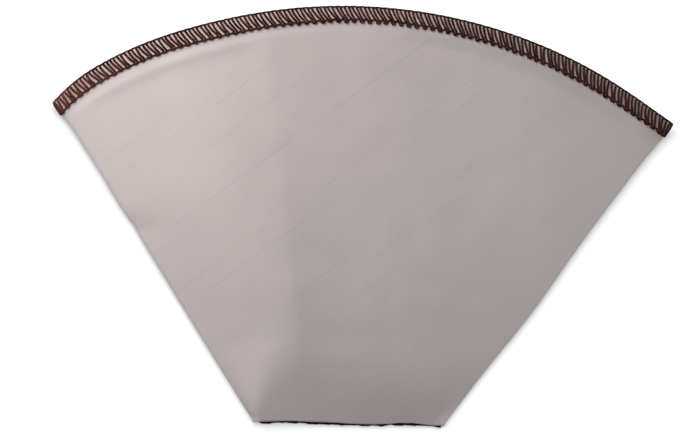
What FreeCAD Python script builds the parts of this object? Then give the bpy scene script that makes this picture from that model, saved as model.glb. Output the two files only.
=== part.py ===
"""Reusable cloth coffee filter: a flat cone pocket, sewn shut at one side and the bottom.

It lies on its back, slightly open. Millimetres, +Z up, +Y from the closed bottom edge to the mouth,
origin on the table under the middle of the bottom edge.
"""

import FreeCAD, Part
import math
import os
import Sketcher

# Outline as it lies, its puff, the cloth, and the overlock round the mouth
SIZES = {
    "bottom_width": 56.4,
    "mouth_width": 186.0,
    "rim_height": 126.0,
    "rim_radius": 156.0,
    "bottom_puff": 1.7,
    "mouth_puff": 12.0,
    "bottom_ridge_shift": 10.0,
    "mouth_ridge_shift": 28.0,
    "bottom_edge_height": 1.0,
    "mouth_edge_height": 2.6,
    "back_flat_length": 76.0,
    "back_lip_lift": 1.8,
    "back_press": 0.04,
    "loft_overrun": 4.0,
    "cloth_thickness": 0.25,
    "seam_allowance": 5.0,
    "thread_radius": 0.27,
    "thread_clearance": 0.06,
    "stitch_pitch": 2.41,
    "stitch_depth": 4.9,
    "stitch_lean": 1.9,
    "apex_width": 0.62,
    "corner_margin": 1.5,
    "bottom_wave_pitch": 3.4,
    "bottom_wave_depth": 0.35,
    "bottom_thread_margin": 1.0,
    "allowance_stitch_pitch": 2.41,
    "allowance_thread_margin": 7.0,
}

doc = FreeCAD.newDocument("filter")
sheet = doc.addObject("Spreadsheet::Sheet", "dims")
for row, (alias, number) in enumerate(SIZES.items(), start=1):
    sheet.set(f"A{row}", alias)
    sheet.set(f"B{row}", str(number))
    sheet.setAlias(f"B{row}", alias)
doc.recompute()


def size(alias):
    """Return one size of the sheet as a plain number."""
    return float(sheet.get(alias))


RIM_CENTRE_Y = size("rim_height") - size("rim_radius")
CUT_RADIUS = size("rim_radius") - 2 * size("thread_radius")
THREAD_SIDES = 3

# Where the rim's arc meets the straight sides, and how a size grows from the bottom to the mouth
CORNER = "(dims.rim_height - dims.rim_radius + sqrt(dims.rim_radius^2 - (dims.mouth_width / 2)^2))"
LOFT_END = "(dims.rim_height + dims.loft_overrun)"


def growing(bottom, mouth, station, full_station="dims.rim_height"):
    """Return the formula of a size that grows evenly along the pocket."""
    return f"({bottom} + ({mouth} - {bottom}) * {station} / {full_station})"


def half_width_at(station):
    """Return the formula of half the pocket's width."""
    return growing("dims.bottom_width / 2", "dims.mouth_width / 2", station, CORNER)


def edge_height_at(station):
    """Return the formula of the height of the rolled side edges."""
    return growing("dims.bottom_edge_height", "dims.mouth_edge_height", station)


def lift_at(station):
    """Return the formula of how far the back's lip has risen off the table."""
    return f"(dims.back_lip_lift * ({station} - dims.back_flat_length) / (dims.rim_height - dims.back_flat_length))"


def slice_formulas(station, inset, lift):
    """Return the formulas of one cross-section; inset is 0 on the outside and the cloth inside."""
    half_width = half_width_at(station)
    edge = edge_height_at(station)
    puff = growing("dims.bottom_puff", "dims.mouth_puff", station)
    shift = growing("dims.bottom_ridge_shift", "dims.mouth_ridge_shift", station)
    return {
        "right": f"{half_width} - {edge} / 2",
        "left": f"-({half_width} - {edge} / 2)",
        "base": f"{lift} + {inset}",
        "roll_top": f"{lift} + {edge} - {inset}",
        "ridge_x": f"-{shift}",
        "ridge_z": f"{lift} + {puff} - {inset}",
    }


def start(curve):
    """Return a sketch curve's start point, as constraints name it."""
    return curve, 1


def end(curve):
    """Return a sketch curve's end point, as constraints name it."""
    return curve, 2


def centre(curve):
    """Return an arc's or a circle's centre, as constraints name it."""
    return curve, 3


def origin_plane(body, role):
    """Return the body's own origin plane with that role."""
    return [plane for plane in body.Origin.OriginFeatures if plane.Role == role][0]


def new_sketch(body, name, role, station="0"):
    """Start a sketch on one of the body's planes, moved along to its station."""
    sketch = body.newObject("Sketcher::SketchObject", name)
    sketch.AttachmentSupport = (origin_plane(body, role), "")
    sketch.MapMode = "FlatFace"
    sketch.setExpression(".AttachmentOffset.Base.z", f"-({station})")
    return sketch


def measure(sketch, kind, key, place, formula, value):
    """Add a named measure at that place of the sketch, tied to its formula."""
    from_origin = () if kind == "Radius" else (-1, 1)
    index = sketch.addConstraint(Sketcher.Constraint(kind, *from_origin, *place, value))
    sketch.renameConstraint(index, key)
    sketch.setExpression(f"Constraints.{key}", formula)


def close_outline(sketch, curve_count):
    """Join each curve's end to the next one's start."""
    for curve in range(curve_count):
        following = (curve + 1) % curve_count
        sketch.addConstraint(Sketcher.Constraint("Coincident", *end(curve), *start(following)))


def slice_sketch(body, name, station, inset, lift):
    """Draw one closed cross-section: flat back, two rolled edges and an arch with its ridge."""
    formulas = slice_formulas(station, inset, lift)
    right, left, base, roll_top, ridge_x, ridge_z = [
        float(body.evalExpression(formula)) for formula in formulas.values()
    ]
    middle = (base + roll_top) / 2
    roll = (roll_top - base) / 2

    def point(x, z):
        return FreeCAD.Vector(x, z, 0)

    def rolled_edge(x, side):
        return Part.Arc(point(x, middle - side * roll), point(x + side * roll, middle),
                        point(x, middle + side * roll))

    def arch(start_x, start_z, end_x, end_z):
        run = abs(end_x - start_x)
        rise = abs(end_z - start_z)
        radius = (run ** 2 + rise ** 2) / (2 * rise)
        half_turn = math.asin(run / radius) / 2
        side = 1 if start_x + end_x > 2 * ridge_x else -1
        between = point(ridge_x + side * radius * math.sin(half_turn),
                        ridge_z - radius * (1 - math.cos(half_turn)))
        return Part.Arc(point(start_x, start_z), between, point(end_x, end_z))

    sketch = new_sketch(body, name, "XZ_Plane", station)
    sketch.addGeometry([
        Part.LineSegment(point(left, base), point(right, base)),
        rolled_edge(right, 1),
        arch(right, roll_top, ridge_x, ridge_z),
        arch(ridge_x, ridge_z, left, roll_top),
        rolled_edge(left, -1),
    ], False)
    back, right_roll, right_arch, left_arch, left_roll = range(5)
    close_outline(sketch, 5)
    sketch.addConstraint(Sketcher.Constraint("Horizontal", back))
    for curve, anchor in ((right_roll, start), (left_roll, start), (right_arch, end), (left_arch, start)):
        sketch.addConstraint(Sketcher.Constraint("Vertical", *centre(curve), *anchor(curve)))
    for curve in (right_roll, left_roll):
        sketch.addConstraint(Sketcher.Constraint("Vertical", *start(curve), *end(curve)))
    measure(sketch, "DistanceX", "left", start(back), formulas["left"], left)
    measure(sketch, "DistanceX", "right", end(back), formulas["right"], right)
    measure(sketch, "DistanceY", "base", start(back), formulas["base"], base)
    measure(sketch, "DistanceY", "right_roll_top", end(right_roll), formulas["roll_top"], roll_top)
    measure(sketch, "DistanceY", "left_roll_top", start(left_roll), formulas["roll_top"], roll_top)
    measure(sketch, "DistanceX", "ridge_x", end(right_arch), formulas["ridge_x"], ridge_x)
    measure(sketch, "DistanceY", "ridge_z", end(right_arch), formulas["ridge_z"], ridge_z)
    return sketch


def loft(body, kind, name, sketches):
    """Loft straight from one cross-section to the next."""
    feature = body.newObject(kind, name)
    feature.Profile = sketches[0]
    feature.Sections = sketches[1:]
    feature.Ruled = True
    return feature


def rectangle_sketch(body, name, role, formulas, station="0"):
    """Draw a rectangle from the formulas of its left, right, low and high side."""
    left, right, low, high = [float(body.evalExpression(formula)) for formula in formulas]
    corners = [FreeCAD.Vector(x, y, 0) for x, y in ((left, low), (right, low), (right, high), (left, high))]
    sketch = new_sketch(body, name, role, station)
    sketch.addGeometry([Part.LineSegment(corner, following)
                        for corner, following in zip(corners, corners[1:] + corners[:1])], False)
    bottom_line, right_line, top_line, left_line = range(4)
    close_outline(sketch, 4)
    for curve, way in ((bottom_line, "Horizontal"), (right_line, "Vertical"),
                       (top_line, "Horizontal"), (left_line, "Vertical")):
        sketch.addConstraint(Sketcher.Constraint(way, curve))
    measure(sketch, "DistanceX", "left", start(bottom_line), formulas[0], left)
    measure(sketch, "DistanceX", "right", end(bottom_line), formulas[1], right)
    measure(sketch, "DistanceY", "low", start(bottom_line), formulas[2], low)
    measure(sketch, "DistanceY", "high", start(top_line), formulas[3], high)
    return sketch


def allowance_sketch(body, name, station, lift):
    """Draw the side seam's allowance in one cross-section: two layers of cloth inside the right edge."""
    half_width = half_width_at(station)
    middle = f"{lift} + {edge_height_at(station)} / 2"
    return rectangle_sketch(body, name, "XZ_Plane", [
        f"{half_width} - dims.seam_allowance",
        f"{half_width} - dims.cloth_thickness / 2",
        f"{middle} - dims.cloth_thickness",
        f"{middle} + dims.cloth_thickness",
    ], station)


def rim_trim_sketch(body):
    """Draw what is cut away beyond the cloth's edge: a wide ring outside the rim's arc."""
    centre_y = "dims.rim_height - dims.rim_radius"
    rings = {
        "cut": "dims.rim_radius - 2 * dims.thread_radius",
        "far": "dims.rim_radius + dims.mouth_width",
    }
    sketch = new_sketch(body, "rim_trim_outline", "XY_Plane")
    for curve, (key, formula) in enumerate(rings.items()):
        radius = float(body.evalExpression(formula))
        middle = FreeCAD.Vector(0, RIM_CENTRE_Y, 0)
        sketch.addGeometry(Part.Circle(middle, FreeCAD.Vector(0, 0, 1), radius), False)
        measure(sketch, "Radius", f"{key}_radius", (curve,), formula, radius)
        measure(sketch, "DistanceY", f"{key}_centre_y", centre(curve), centre_y, RIM_CENTRE_Y)
        sketch.addConstraint(Sketcher.Constraint("PointOnObject", *centre(curve), -2))
    return sketch


def build_cloth():
    """Build the folded and seamed cloth as one solid of even thickness, open at the mouth."""
    body = doc.addObject("PartDesign::Body", "filter_cloth")
    flat_end = "dims.back_flat_length"
    outside = [slice_sketch(body, "outside_bottom", "0", "0", "-dims.back_press"),
               slice_sketch(body, "outside_middle", flat_end, "0", "-dims.back_press"),
               slice_sketch(body, "outside_mouth", LOFT_END, "0", lift_at(LOFT_END))]
    loft(body, "PartDesign::AdditiveLoft", "outside", outside)
    cloth = "dims.cloth_thickness"
    inside = [slice_sketch(body, "inside_bottom", "dims.seam_allowance", cloth, "0"),
              slice_sketch(body, "inside_middle", flat_end, cloth, "0"),
              slice_sketch(body, "inside_mouth", LOFT_END, cloth, lift_at(LOFT_END))]
    doc.recompute()
    loft(body, "PartDesign::SubtractiveLoft", "inside", inside)
    allowance = [allowance_sketch(body, "allowance_bottom", "(dims.seam_allowance / 2)", "0"),
                 allowance_sketch(body, "allowance_middle", flat_end, "0"),
                 allowance_sketch(body, "allowance_mouth", LOFT_END, lift_at(LOFT_END))]
    doc.recompute()
    loft(body, "PartDesign::AdditiveLoft", "side_seam_allowance", allowance)
    doc.recompute()
    rim_trim = body.newObject("PartDesign::Pocket", "rim_trim")
    rim_trim.Profile = rim_trim_sketch(body)
    rim_trim.Type = "ThroughAll"
    rim_trim.SideType = "Symmetric"
    doc.recompute()
    table = rectangle_sketch(body, "table_outline", "XY_Plane",
                             ["-dims.mouth_width", "dims.mouth_width", "-dims.rim_height", "2 * dims.rim_height"])
    pressed_flat = body.newObject("PartDesign::Pocket", "pressed_flat")
    pressed_flat.Profile = table
    pressed_flat.Type = "ThroughAll"
    doc.recompute()
    return body, outside


def mix(first, second, share):
    """Return the value that lies a share of the way from the first to the second."""
    return first + (second - first) * share


class Skin:
    """The outer face of the cloth, read back from its cross-sections."""

    def __init__(self, sketches):
        keys = ("right", "base", "right_roll_top", "ridge_x", "ridge_z")
        self.slices = [(-sketch.AttachmentOffset.Base.z, [float(sketch.getDatum(key)) for key in keys])
                       for sketch in sketches]

    def slice_at(self, y):
        """Return the flat half-width, base, roll top, ridge place and ridge height of a cross-section."""
        low, high = self.slices[:2] if y < self.slices[1][0] else self.slices[1:]
        share = (y - low[0]) / (high[0] - low[0])
        return [mix(first, second, share) for first, second in zip(low[1], high[1])]

    def front_height(self, x, y):
        """Return the height of the arched front panel."""
        right, _, roll_top, ridge_x, ridge_z = self.slice_at(y)
        reach = right - ridge_x if x > ridge_x else right + ridge_x
        return ridge_z - (ridge_z - roll_top) * ((x - ridge_x) / reach) ** 2

    def back_height(self, x, y):
        """Return the height of the back panel."""
        return self.slice_at(y)[1]

    def face(self, side, x, y):
        """Return a point of the front (side 1) or back (side -1) panel and its outward direction."""
        height = self.front_height if side > 0 else self.back_height
        step = 0.5
        slope_x = (height(x + step, y) - height(x - step, y)) / (2 * step)
        slope_y = (height(x, y + step) - height(x, y - step)) / (2 * step)
        outward = FreeCAD.Vector(-side * slope_x, -side * slope_y, side).normalize()
        return FreeCAD.Vector(x, y, height(x, y)), outward

    def roll(self, side, turn, plan_radius):
        """Return a point of the right (side 1) or left (side -1) rolled edge and its outward direction.

        The turn is 0 on the front, half a turn on the back; the point lies on a circle round the rim's centre.
        """
        y = size("rim_height")
        for _ in range(30):
            right, base, roll_top, _, _ = self.slice_at(y)
            radius = (roll_top - base) / 2
            x = right + radius * math.sin(turn)
            y = RIM_CENTRE_Y + math.sqrt(plan_radius ** 2 - x ** 2)
        spread = (self.slice_at(y + 1)[0] - self.slice_at(y - 1)[0]) / 2
        outward = FreeCAD.Vector(side * math.sin(turn), -spread * math.sin(turn), math.cos(turn)).normalize()
        return FreeCAD.Vector(side * x, y, base + radius * (1 + math.cos(turn))), outward


def thread_solid(points, outwards, closed):
    """Return a thread as a solid of flat facets along its points, flat side on the cloth."""
    count = len(points)
    radius = size("thread_radius")
    corners = []
    for index in range(count):
        if closed:
            before, after = points[index - 1], points[(index + 1) % count]
        else:
            before, after = points[max(index - 1, 0)], points[min(index + 1, count - 1)]
        arriving = points[index] - before
        leaving = after - points[index]
        arriving = arriving.normalize() if arriving.Length else FreeCAD.Vector(leaving).normalize()
        leaving = leaving.normalize() if leaving.Length else arriving
        forward = arriving + leaving
        mitre = 1 / max(forward.Length / 2, 0.5)
        sideways = outwards[index].cross(forward).normalize()
        for corner in range(THREAD_SIDES):
            turn = 2 * math.pi * corner / THREAD_SIDES
            corners.append(points[index] + outwards[index] * (radius * math.cos(turn))
                           + sideways * (radius * mitre * math.sin(turn)))
    facets = []
    for index in range(count if closed else count - 1):
        here = index * THREAD_SIDES
        there = (index + 1) % count * THREAD_SIDES
        for corner in range(THREAD_SIDES):
            following = (corner + 1) % THREAD_SIDES
            facets.append((here + corner, here + following, there + following))
            facets.append((here + corner, there + following, there + corner))
    if not closed:
        last = (count - 1) * THREAD_SIDES
        facets.append((2, 1, 0))
        facets.append((last, last + 1, last + 2))
    shell = Part.Shape()
    shell.makeShapeFromMesh((corners, facets), 0.0001)
    solid = Part.makeSolid(shell)
    if solid.Volume < 0:
        solid.reverse()
    return solid


def add_thread(label, points, outwards, closed):
    """Add one thread to the document."""
    thread = doc.addObject("Part::Feature", label)
    thread.Shape = thread_solid(points, outwards, closed)
    thread.Placement = FreeCAD.Placement()
    return thread


def stitch_places(skin):
    """Return where the stitches sit along a lip, as arc lengths from its middle."""
    corner = skin.roll(1, 0, CUT_RADIUS)[0]
    end = CUT_RADIUS * math.asin(corner.x / CUT_RADIUS) - size("corner_margin")
    first = -end + size("stitch_lean") + size("stitch_pitch") / 4
    count = round((end - first) / size("stitch_pitch"))
    pitch = (end - first) / count
    return [first + pitch * number for number in range(count + 1)], pitch


def lip_point(skin, side, place, inset, height):
    """Return a point over one lip: along it, inside its cut edge, and above (or inside) its outer face."""
    turn = place / CUT_RADIUS
    radius = CUT_RADIUS - inset
    on_skin, outward = skin.face(side, radius * math.sin(turn), RIM_CENTRE_Y + radius * math.cos(turn))
    return on_skin + outward * height, outward


def add_looper(label, skin, face_side):
    """Add a looper thread: leaning legs over one face of both lips, joined round the two corners."""
    gap = size("thread_radius") / 2 + size("thread_clearance")
    height = gap if face_side > 0 else -size("cloth_thickness") - gap
    edge = -size("thread_radius")
    places, pitch = stitch_places(skin)
    half_apex = size("apex_width") / 2
    points, outwards = [], []

    def add(point, outward):
        points.append(point)
        outwards.append(outward * face_side)

    for lip in (1, -1):
        for place in places:
            at_edge = place - size("stitch_lean")
            for along, inset in ((at_edge - pitch / 4, edge),
                                 (place - half_apex, size("stitch_depth")),
                                 (place + half_apex, size("stitch_depth")),
                                 (at_edge + pitch / 4, edge)):
                add(*lip_point(skin, lip, lip * along, inset, height))
        for quarter in (1, 2, 3):
            turn = quarter * math.pi / 4 if lip > 0 else math.pi - quarter * math.pi / 4
            on_skin, outward = skin.roll(lip, turn, CUT_RADIUS - 2 * edge)
            add(on_skin + outward * height, outward)
    return add_thread(label, points, outwards, True)


def add_needle_thread(skin):
    """Add the needle thread, which runs just inside the loops, round the outside of both lips."""
    height = size("thread_radius") / 2 + size("thread_clearance")
    inset = size("stitch_depth") + 2 * size("thread_radius") + size("thread_clearance")
    places, _ = stitch_places(skin)
    roll_steps = 8
    points, outwards = [], []
    for lip in (1, -1):
        for place in places:
            point, outward = lip_point(skin, lip, lip * place, inset, height)
            points.append(point)
            outwards.append(outward)
        for step in range(roll_steps + 1):
            turn = math.pi * step / roll_steps
            turn = turn if lip > 0 else math.pi - turn
            on_skin, outward = skin.roll(lip, turn, CUT_RADIUS - inset)
            points.append(on_skin + outward * height)
            outwards.append(outward)
    return add_thread("rim_needle_thread", points, outwards, True)


def wavy_run(start, end, pitch, wave):
    """Return points from start to end that swing to either side by the wave vector."""
    steps = max(2, round((end - start).Length / (pitch / 2)))
    return [start + (end - start) * (step / steps) + wave * (-1) ** step for step in range(steps + 1)]


def add_bottom_seam_thread():
    """Add the seam's thread where it shows, swinging along the closed bottom edge."""
    reach = size("bottom_width") / 2 - size("bottom_thread_margin")
    depth = size("thread_radius") + size("thread_clearance") + size("bottom_wave_depth") / 2
    height = size("bottom_edge_height") / 2
    points = wavy_run(FreeCAD.Vector(-reach, -depth, height), FreeCAD.Vector(reach, -depth, height),
                      size("bottom_wave_pitch"), FreeCAD.Vector(0, size("bottom_wave_depth") / 2, 0))
    return add_thread("bottom_seam_thread", points, [FreeCAD.Vector(0, 0, 1)] * len(points), False)


def add_bottom_allowance_thread():
    """Add the thread along the raw edge of the bottom seam's allowance, inside the pocket."""
    reach = size("bottom_width") / 2 - size("allowance_thread_margin")
    place = size("seam_allowance") + size("thread_radius") + size("thread_clearance")
    height = size("bottom_edge_height") / 2
    points = wavy_run(FreeCAD.Vector(-reach, place, height), FreeCAD.Vector(reach, place, height),
                      size("allowance_stitch_pitch"), FreeCAD.Vector(0, 0, 0))
    return add_thread("bottom_allowance_thread", points, [FreeCAD.Vector(0, 0, 1)] * len(points), False)


def add_side_allowance_thread(skin):
    """Add the thread along the raw edge of the side seam's allowance, inside the pocket."""
    inset = size("seam_allowance") + size("thread_radius") + size("thread_clearance")
    points = []
    for y in (size("seam_allowance") + size("allowance_thread_margin"), size("back_flat_length"),
              RIM_CENTRE_Y + CUT_RADIUS * 0.78):
        right, base, roll_top, _, _ = skin.slice_at(y)
        middle = (base + roll_top) / 2
        points.append(FreeCAD.Vector(right + middle - base - inset, y, middle))
    path = []
    for start, end in zip(points, points[1:]):
        path += wavy_run(start, end, size("allowance_stitch_pitch"), FreeCAD.Vector(0, 0, 0))[:-1]
    path.append(points[-1])
    return add_thread("side_allowance_thread", path, [FreeCAD.Vector(0, 0, 1)] * len(path), False)


filter_cloth, outside_slices = build_cloth()
filter_skin = Skin(outside_slices)
nodes = [
    filter_cloth,
    add_looper("rim_upper_looper_thread", filter_skin, 1),
    add_looper("rim_lower_looper_thread", filter_skin, -1),
    add_needle_thread(filter_skin),
    add_bottom_seam_thread(),
    add_bottom_allowance_thread(),
    add_side_allowance_thread(filter_skin),
]
doc.recompute()

for item in doc.Objects:
    if "Invalid" in item.State or "Error" in item.State:
        raise RuntimeError(f"{item.Name} failed to build")
for node in nodes:
    if node.Shape.isNull() or not node.Shape.isValid() or node.Shape.Volume <= 0:
        raise RuntimeError(f"{node.Label} has no valid solid")

os.makedirs("parts", exist_ok=True)
for node in nodes:
    node.Shape.exportStep(f"parts/{node.Label}.step")
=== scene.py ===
"""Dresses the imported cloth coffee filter: woven pocket, overlocked mouth, seam threads and stage."""

import math
import random

import bmesh
import bpy
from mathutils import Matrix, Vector, noise


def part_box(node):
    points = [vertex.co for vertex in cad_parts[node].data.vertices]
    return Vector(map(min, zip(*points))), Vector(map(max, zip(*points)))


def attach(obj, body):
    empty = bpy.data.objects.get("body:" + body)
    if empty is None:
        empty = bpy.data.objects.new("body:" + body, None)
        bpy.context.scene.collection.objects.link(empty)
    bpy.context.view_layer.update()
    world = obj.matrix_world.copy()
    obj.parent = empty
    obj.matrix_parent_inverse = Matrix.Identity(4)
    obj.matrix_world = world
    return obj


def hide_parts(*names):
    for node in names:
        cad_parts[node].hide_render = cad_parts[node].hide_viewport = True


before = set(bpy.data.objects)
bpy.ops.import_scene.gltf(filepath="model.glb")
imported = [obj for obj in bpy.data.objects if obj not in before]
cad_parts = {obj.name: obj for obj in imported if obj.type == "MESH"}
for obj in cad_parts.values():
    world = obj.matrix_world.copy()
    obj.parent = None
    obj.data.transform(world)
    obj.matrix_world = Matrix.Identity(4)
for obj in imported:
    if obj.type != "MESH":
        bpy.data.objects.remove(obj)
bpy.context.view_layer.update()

bl_info = {
    "name": "Cloth coffee filter",
    "version": (1, 0, 0),
    "blender": (4, 5, 0),
    "location": "3D View > Sidebar > Filter",
    "description": "Builds a sewn cloth coffee filter with an overlocked mouth",
    "category": "Add Mesh",
}

# Nodes and places taken from the frame, and how the cloth is laid: its rows, rolled edges and tucked seam
RIM_THREADS = ("rim_upper_looper_thread", "rim_lower_looper_thread", "rim_needle_thread")
CLOTH_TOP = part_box("filter_cloth")[1]
FINE_ROWS_FROM = 0.92
EDGE_CREASE = 0.14
SEAM_TUCK = 0.75
TUCKED_REACH = 0.617
MERGE_DISTANCE = 0.00002
SHARP_ANGLE = math.radians(38)
# The weft's angle on the cut cloth, and the yarns drawn tight: where each runs and how plain it shows
YARN_BIAS = math.radians(-4)
DRAWN_YARNS = (
    (0.0616, 1.0), (0.0448, 1.0), (0.0397, 0.95), (0.0232, 0.75), (0.0181, 0.5), (-0.0029, 0.55),
    (-0.0248, 0.8), (0.0835, 0.6), (0.0745, 0.5), (0.0670, 0.4), (0.0580, 0.35), (0.0520, 0.3),
)
DRAWN_YARN_WIDTH = 0.00030
# Small bends of the outline, each with its place, its width and its reach, and the bottom edge's slant
LEFT_BENDS = ((0.0575, 0.0022, 0.0003), (0.064, 0.005, -0.0003), (0.072, 0.040, 0.0010))
RIGHT_BENDS = ((0.036, 0.014, 0.0010), (0.068, 0.014, -0.00015), (0.092, 0.005, 0.0008))
BOTTOM_BENDS = ((-0.60, 0.25, 0.0005), (-0.20, 0.20, 0.0003), (0.62, 0.24, 0.0006))
RIM_BENDS = ((0.86, 0.16, 0.0003), (-0.74, 0.24, -0.0007))
BOTTOM_SLANT = 0.00045
# The front's slopes: where the ridge runs, and how the panel falls away from it on both sides
RIDGE_AT_MOUTH = -0.30
RIDGE_LEAN = 0.08
RIDGE_SWAY = 0.50
RIGHT_SLOPE_BEND = 0.76
LEFT_SLOPE_BENDS = (1.5, 1.7)
RIDGE_ROUNDING = (0.05, 0.14)
FOOT_ROUNDING = 0.45
FOOT_FLATNESS = 0.26
SWELL_BEND = 0.45
SWELL_START = 0.02
# The raw allowances inside: where along their seams they run, and the thickness of their layers
BOTTOM_ALLOWANCE_RUN = (-0.82, 0.82)
SIDE_ALLOWANCE_RUN = (0.075, 0.985)
ALLOWANCE_THICKNESS = 0.00036
# The stitched band's steps, the seed of its uneven stitches, the middle of the rim's arc, and the floor
BAND_RISE_BACK = 0.0007
BAND_RISE_LEFT = 0.00024
BAND_RISE_RIGHT = 0.00045
STITCH_SEED = 31
RIM_CENTRE = (0.0, -0.03, 0.0)
SHADOW_REACH = 0.030
SHADOW_DEPTH = 1.6
FLOOR_TONE = 0.18


class FilterClothSettings(bpy.types.PropertyGroup):
    """Sizes and colours of the cloth pocket."""

    bottom_width: bpy.props.FloatProperty(
        name="Bottom width", description="Length of the closed bottom edge",
        default=0.0578, unit="LENGTH")
    mouth_width: bpy.props.FloatProperty(
        name="Mouth width", description="Straight distance between the mouth's corners",
        default=2 * CLOTH_TOP[0] + 0.0012, unit="LENGTH")
    rim_height: bpy.props.FloatProperty(
        name="Rim height", description="Bottom edge to the top of the overlocked rim",
        default=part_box("rim_upper_looper_thread")[1][1], unit="LENGTH")
    rim_radius: bpy.props.FloatProperty(
        name="Rim radius", description="Radius of the rim's arc", default=0.156, unit="LENGTH")
    rim_trim: bpy.props.FloatProperty(
        name="Rim trim", description="Thread beyond the cloth's cut edge", default=0.00052, unit="LENGTH")
    thickness: bpy.props.FloatProperty(
        name="Thickness", description="One layer of cloth", default=0.00025, unit="LENGTH")
    bottom_puff: bpy.props.FloatProperty(
        name="Bottom puff", description="Height of the front at the bottom edge",
        default=0.0027, unit="LENGTH")
    mouth_puff: bpy.props.FloatProperty(
        name="Mouth puff", description="Height of the front's ridge over the back at the mouth",
        default=0.0118, unit="LENGTH")
    bottom_edge: bpy.props.FloatProperty(
        name="Bottom edge", description="Height of the rolled side edges at the bottom",
        default=0.001, unit="LENGTH")
    mouth_edge: bpy.props.FloatProperty(
        name="Mouth edge", description="Height of the rolled side edges at the mouth",
        default=0.0018, unit="LENGTH")
    lip_lift: bpy.props.FloatProperty(
        name="Lip lift", description="How far the back's lip rises off the table",
        default=0.0018, unit="LENGTH")
    flat_length: bpy.props.FloatProperty(
        name="Flat length", description="How far the back lies flat", default=0.076, unit="LENGTH")
    bottom_curl: bpy.props.FloatProperty(
        name="Bottom curl", description="Depth of the turned bottom edge", default=0.0007, unit="LENGTH")
    rim_sink: bpy.props.FloatProperty(
        name="Rim sink", description="How far the stitched rim is pressed below the panel", default=0.00020,
        unit="LENGTH")
    allowance: bpy.props.FloatProperty(
        name="Seam allowance", description="Width of the raw seam inside", default=0.005, unit="LENGTH")
    left_corner_drop: bpy.props.FloatProperty(
        name="Left corner drop", description="How far the rim bends down over the left fold",
        default=0.0014, unit="LENGTH")
    panel_columns: bpy.props.IntProperty(
        name="Panel columns", description="Faces across one panel", default=124, min=8)
    roll_columns: bpy.props.IntProperty(
        name="Roll columns", description="Faces round one rolled edge", default=8, min=4)
    body_rows: bpy.props.IntProperty(
        name="Body rows", description="Faces from the bottom to the mouth", default=92, min=8)
    curl_rows: bpy.props.IntProperty(
        name="Curl rows", description="Faces round the turned bottom edge", default=5, min=2)
    colour: bpy.props.FloatVectorProperty(
        name="Cloth colour", description="Mean colour of the weave", subtype="COLOR", size=3,
        default=(0.448, 0.397, 0.389))
    pale_colour: bpy.props.FloatVectorProperty(
        name="Pale yarn colour", description="Colour of the palest yarns", subtype="COLOR", size=3,
        default=(0.535, 0.478, 0.468))
    # Partly painted light: the band takes the pink of the thread's fuzz, and is made lighter than the cloth
    # to offset the shade between the stitches
    band_painted_light_colour: bpy.props.FloatVectorProperty(
        name="Stitched band colour", description="Colour of the cloth that shows between the stitches",
        subtype="COLOR", size=3, default=(0.60, 0.475, 0.45))
    # Part of the band's painted light colour: redder and darker at the band's left end
    left_band_painted_light_colour: bpy.props.FloatVectorProperty(
        name="Worn band colour", description="Colour of the stitched band at its left end",
        subtype="COLOR", size=3, default=(0.46, 0.31, 0.28))


class StitchSettings(bpy.types.PropertyGroup):
    """Sizes and colours of the threads."""

    radius: bpy.props.FloatProperty(
        name="Thread radius", description="Radius of the overlock thread", default=0.00030, unit="LENGTH")
    pitch: bpy.props.FloatProperty(
        name="Stitch pitch", description="Length of one overlock stitch", default=0.00241, unit="LENGTH")
    depth: bpy.props.FloatProperty(
        name="Stitch depth", description="Cut edge to the needle line", default=0.0046, unit="LENGTH")
    lean_left: bpy.props.FloatProperty(
        name="Left lean", description="Lean of the legs at the left end of the front lip",
        default=0.0009, unit="LENGTH")
    lean_middle: bpy.props.FloatProperty(
        name="Middle lean", description="Lean of the legs in the middle of the front lip",
        default=0.0026, unit="LENGTH")
    lean_right: bpy.props.FloatProperty(
        name="Right lean", description="Lean of the legs at the right end of the front lip",
        default=0.0019, unit="LENGTH")
    apex_width: bpy.props.FloatProperty(
        name="Apex width", description="Distance between two legs at the needle line",
        default=0.00095, unit="LENGTH")
    crowding: bpy.props.FloatProperty(
        name="Crowding", description="How far the stitches draw together at the left corner",
        default=0.0011, unit="LENGTH")
    unevenness: bpy.props.FloatProperty(
        name="Unevenness", description="How far a stitch strays from its place",
        default=0.00016, unit="LENGTH")
    colour: bpy.props.FloatVectorProperty(
        name="Thread colour", description="Dark brown of the thread", subtype="COLOR", size=3,
        default=(0.017, 0.0048, 0.0040))
    # The warm colour is also the lighter colour of the painted light on the ply crowns and towards the rim's
    # left end
    warm_colour: bpy.props.FloatVectorProperty(
        name="Warm thread colour", description="Redder brown of the worn fibres", subtype="COLOR", size=3,
        default=(0.095, 0.028, 0.021))
    # Painted shade: the bottom seam's thread is a near-black copy of the overlock thread, dark for the shade
    # at the bottom edge
    painted_shade_seam_colour: bpy.props.FloatVectorProperty(
        name="Seam colour", description="Colour of the bottom seam's thread", subtype="COLOR", size=3,
        default=(0.006, 0.004, 0.005))
    painted_shade_seam_fibre_colour: bpy.props.FloatVectorProperty(
        name="Seam fibre colour", description="Colour of the bottom seam's worn fibres",
        subtype="COLOR", size=3, default=(0.016, 0.010, 0.010))


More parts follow.
